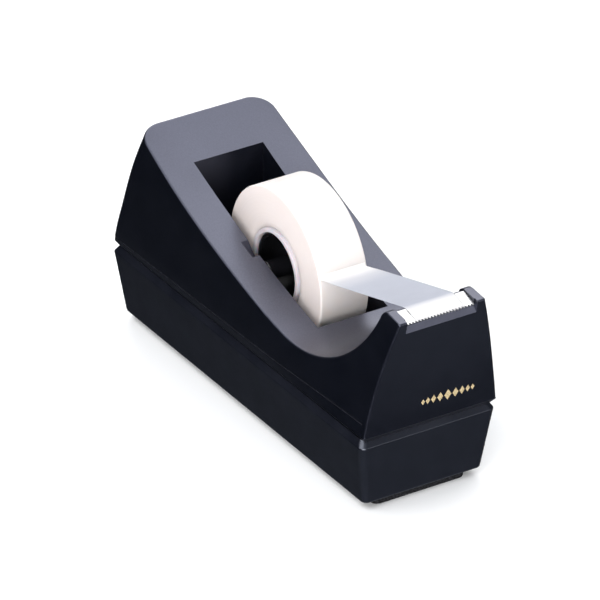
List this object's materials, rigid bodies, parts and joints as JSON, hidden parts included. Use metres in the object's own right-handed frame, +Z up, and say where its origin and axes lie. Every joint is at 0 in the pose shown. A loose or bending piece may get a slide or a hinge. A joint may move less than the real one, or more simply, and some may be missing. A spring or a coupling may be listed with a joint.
{
  "type": "tape dispenser",
  "caption": "Weighted desktop tape dispenser: sloping upper shell with a roll well, lift-out hub, toothed cutter and a tapered base on a foam pad.",
  "frame": {"origin": "centre of the base in plan, on the surface that the foam pad rests on", "axes": "+X forward to the cutter, +Y to the left, +Z up"},
  "size_m": [0.1682, 0.0546, 0.0808],
  "materials": {
    "housing_plastic": "satin black moulded plastic, fine texture",
    "base_plastic": "smooth black moulded plastic",
    "ballast": "cast sand and cement",
    "foam": "closed-cell foam rubber",
    "screw_steel": "zinc-plated steel",
    "blade_steel": "bright nickel-plated spring steel",
    "axle_steel": "drawn steel",
    "hub_plastic": "glossy black moulded plastic",
    "core_plastic": "off-white moulded plastic",
    "wound_tape": "wound matte acetate film",
    "tape_film": "frosted translucent film",
    "gold_print": "gold foil print, a row of lozenges on the front face"
  },
  "bodies": {
    "dispenser": {"upper_housing": "housing_plastic", "base_tray": "base_plastic", "ballast_block": "ballast", "non_slip_pad": "foam", "housing_screws": "screw_steel", "cutter_blade": "blade_steel", "tape_tail": "tape_film"},
    "axle": {"hub_axle": "axle_steel"},
    "hub": {"hub_left_half": "hub_plastic", "hub_right_half": "hub_plastic", "tape_core": "core_plastic", "tape_roll": "wound_tape"}
  },
  "joints": [
    {"name": "roll_lift_out", "type": "slide", "parent": "dispenser", "child": "axle", "axis": [-0.7314, 0, 0.682], "range_m": [0, 0.02]},
    {"name": "hub_spin", "type": "hinge", "parent": "axle", "child": "hub", "pos_m": [-0.001, 0, 0.0516], "axis": [0, 1, 0], "continuous": true}
  ]
}
